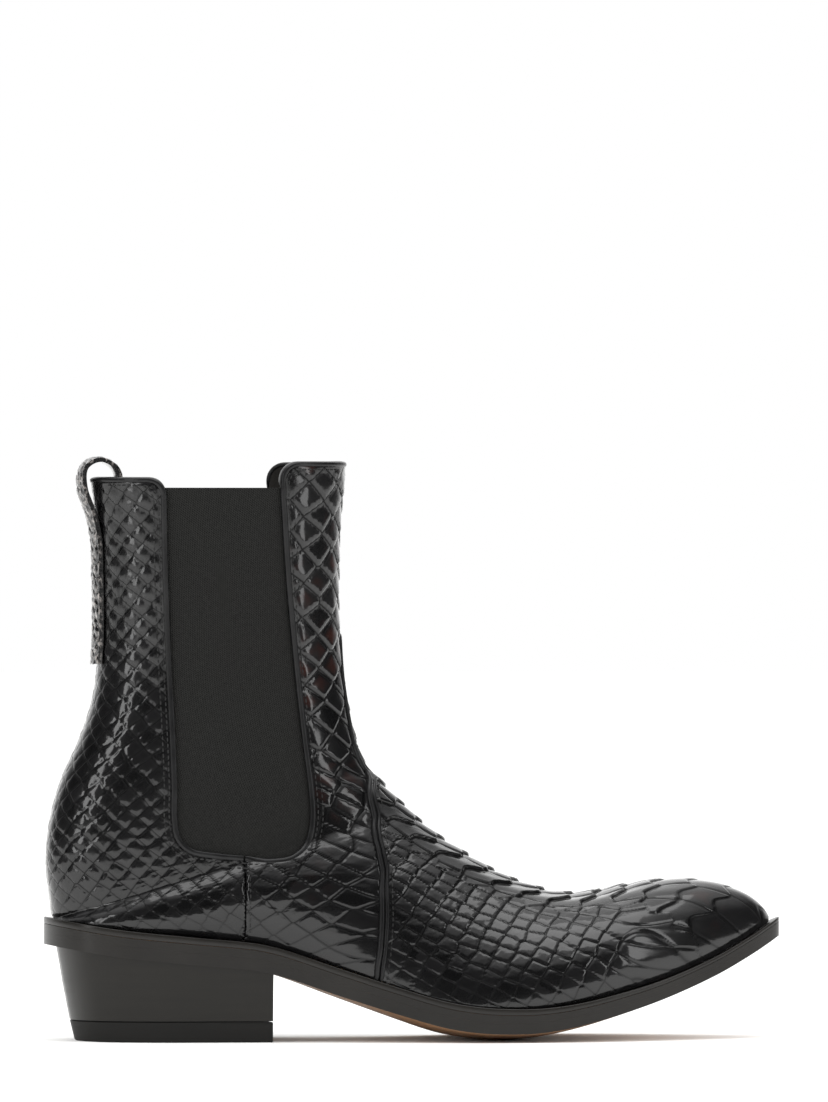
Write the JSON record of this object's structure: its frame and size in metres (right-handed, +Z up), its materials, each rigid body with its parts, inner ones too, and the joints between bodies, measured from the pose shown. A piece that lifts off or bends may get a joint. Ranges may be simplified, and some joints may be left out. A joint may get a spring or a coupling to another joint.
{
  "type": "cowboy boot",
  "caption": "Ankle-high western boot with pointed toe, elastic side gores, scaled leather upper, pull loop at the back and a stacked heel; right foot.",
  "frame": {"origin": "on the ground, under the middle of the boot's overall length and width", "axes": "+X from heel to toe, +Y to the inner (medial) side of the right foot, +Z up"},
  "size_m": [0.3042, 0.0999, 0.2389],
  "materials": {
    "scaled_leather": "black reptile-embossed leather, glossy, warm brown in the thin places",
    "smooth_leather": "black polished binding leather",
    "elastic": "black ribbed elastic webbing, matt",
    "lining_leather": "black lining leather, satin",
    "fibre_board": "pressed leather fibre, matt",
    "cork": "bonded cork, matt",
    "sole_leather": "sole leather, edge stained black and burnished, tan underneath",
    "stacked_leather": "stacked leather, stained black and waxed",
    "rubber": "black rubber, matt",
    "steel": "plain steel"
  },
  "bodies": {
    "root": {"vamp": "scaled_leather", "front_panel": "scaled_leather", "back_quarter_lateral": "scaled_leather", "back_quarter_medial": "scaled_leather", "pull_tab": "scaled_leather", "vamp_piping": "smooth_leather", "front_edge_binding": "smooth_leather", "back_edge_binding": "smooth_leather", "gore_lateral": "elastic", "gore_medial": "elastic", "vamp_lining": "lining_leather", "front_lining": "lining_leather", "back_lining": "lining_leather", "sock_liner": "lining_leather", "heel_pad": "lining_leather", "toe_puff": "fibre_board", "heel_counter": "fibre_board", "insole_board": "fibre_board", "heel_seat_filler": "fibre_board", "cork_filler": "cork", "shank_filler": "cork", "shank": "steel", "shank_rivet_front": "steel", "shank_rivet_back": "steel", "welt": "sole_leather", "midsole": "sole_leather", "outsole": "sole_leather", "heel_wedge": "stacked_leather", "heel_lift_1": "stacked_leather", "heel_lift_2": "stacked_leather", "heel_lift_3": "stacked_leather", "top_piece": "rubber", "heel_nail_1": "steel", "heel_nail_2": "steel", "heel_nail_3": "steel", "heel_nail_4": "steel", "top_piece_nail_1": "steel", "top_piece_nail_2": "steel", "top_piece_nail_3": "steel"}
  },
  "joints": []
}
